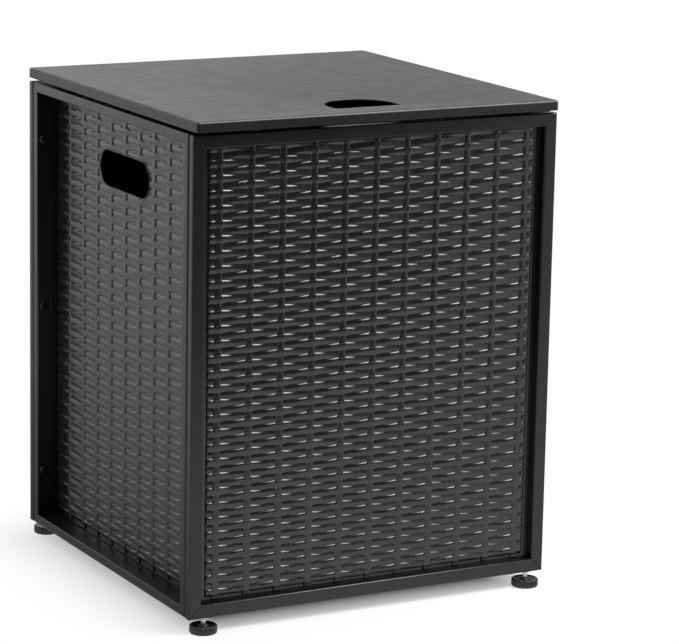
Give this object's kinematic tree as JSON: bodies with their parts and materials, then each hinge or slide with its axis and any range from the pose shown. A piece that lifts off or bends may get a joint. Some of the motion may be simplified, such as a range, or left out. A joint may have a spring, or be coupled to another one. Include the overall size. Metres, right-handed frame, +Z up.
{
  "type": "propane tank cover table",
  "caption": "Square side table that hides a gas tank: an open-bottomed steel box with woven-look pressed panels, hand slots, a lift-off tray lid and screw feet.",
  "frame": {"origin": "on the floor, under the middle of the box", "axes": "+Z up, -Y out of the front, +X to the right as seen from the front"},
  "size_m": [0.4, 0.409, 0.5],
  "materials": {
    "frame_coat": "satin black powder coat",
    "panel_coat": "semi-gloss black powder coat over a pressed weave",
    "lid_coat": "fine satin black powder coat",
    "black_screws": "blackened steel",
    "zinc_steel": "bright zinc plating",
    "black_plastic": "moulded black plastic",
    "black_rubber": "matt black rubber"
  },
  "bodies": {
    "cabinet": {"front_top_rail": "frame_coat", "front_bottom_rail": "frame_coat", "front_left_stile": "frame_coat", "front_right_stile": "frame_coat", "rear_top_rail": "frame_coat", "rear_bottom_rail": "frame_coat", "rear_left_stile": "frame_coat", "rear_right_stile": "frame_coat", "left_side_top_rail": "frame_coat", "left_side_bottom_rail": "frame_coat", "left_side_front_stile": "frame_coat", "left_side_rear_stile": "frame_coat", "right_side_top_rail": "frame_coat", "right_side_bottom_rail": "frame_coat", "right_side_front_stile": "frame_coat", "right_side_rear_stile": "frame_coat", "front_panel": "panel_coat", "rear_panel": "panel_coat", "left_panel": "panel_coat", "right_panel": "panel_coat", "frame_screws": "black_screws", "screw_inserts": "zinc_steel", "foot_bushes": "zinc_steel"},
    "lid": {"lid_tray": "lid_coat", "lid_corner_guides": "lid_coat", "lid_bumpers": "black_rubber"},
    "stud_front_left": {"foot_stud_front_left": "zinc_steel"},
    "pad_front_left": {"foot_pad_front_left": "black_plastic"},
    "stud_front_right": {"foot_stud_front_right": "zinc_steel"},
    "pad_front_right": {"foot_pad_front_right": "black_plastic"},
    "stud_rear_left": {"foot_stud_rear_left": "zinc_steel"},
    "pad_rear_left": {"foot_pad_rear_left": "black_plastic"},
    "stud_rear_right": {"foot_stud_rear_right": "zinc_steel"},
    "pad_rear_right": {"foot_pad_rear_right": "black_plastic"}
  },
  "joints": [
    {"name": "lid_lift", "type": "slide", "parent": "cabinet", "child": "lid", "axis": [0, 0, 1], "range_m": [0, 0.12]},
    {"name": "foot_screw_front_left", "type": "slide", "parent": "cabinet", "child": "stud_front_left", "axis": [0, 0, -1], "range_m": [-0.005, 0.003]},
    {"name": "foot_turn_front_left", "type": "hinge", "parent": "stud_front_left", "child": "pad_front_left", "pos_m": [-0.1823, -0.1908, 0.004], "axis": [0, 0, -1], "range_deg": [-2245, 1345]},
    {"name": "foot_screw_front_right", "type": "slide", "parent": "cabinet", "child": "stud_front_right", "axis": [0, 0, -1], "range_m": [-0.005, 0.003]},
    {"name": "foot_turn_front_right", "type": "hinge", "parent": "stud_front_right", "child": "pad_front_right", "pos_m": [0.1823, -0.1908, 0.004], "axis": [0, 0, -1], "range_deg": [-2245, 1345]},
    {"name": "foot_screw_rear_left", "type": "slide", "parent": "cabinet", "child": "stud_rear_left", "axis": [0, 0, -1], "range_m": [-0.005, 0.003]},
    {"name": "foot_turn_rear_left", "type": "hinge", "parent": "stud_rear_left", "child": "pad_rear_left", "pos_m": [-0.1823, 0.1908, 0.004], "axis": [0, 0, -1], "range_deg": [-2245, 1345]},
    {"name": "foot_screw_rear_right", "type": "slide", "parent": "cabinet", "child": "stud_rear_right", "axis": [0, 0, -1], "range_m": [-0.005, 0.003]},
    {"name": "foot_turn_rear_right", "type": "hinge", "parent": "stud_rear_right", "child": "pad_rear_right", "pos_m": [0.1823, 0.1908, 0.004], "axis": [0, 0, -1], "range_deg": [-2245, 1345]}
  ],
  "couplings": [
    {"joint": "foot_screw_front_left", "follows": "foot_turn_front_left", "m_per_rad": 0.00012732},
    {"joint": "foot_screw_front_right", "follows": "foot_turn_front_right", "m_per_rad": 0.00012732},
    {"joint": "foot_screw_rear_left", "follows": "foot_turn_rear_left", "m_per_rad": 0.00012732},
    {"joint": "foot_screw_rear_right", "follows": "foot_turn_rear_right", "m_per_rad": 0.00012732}
  ]
}
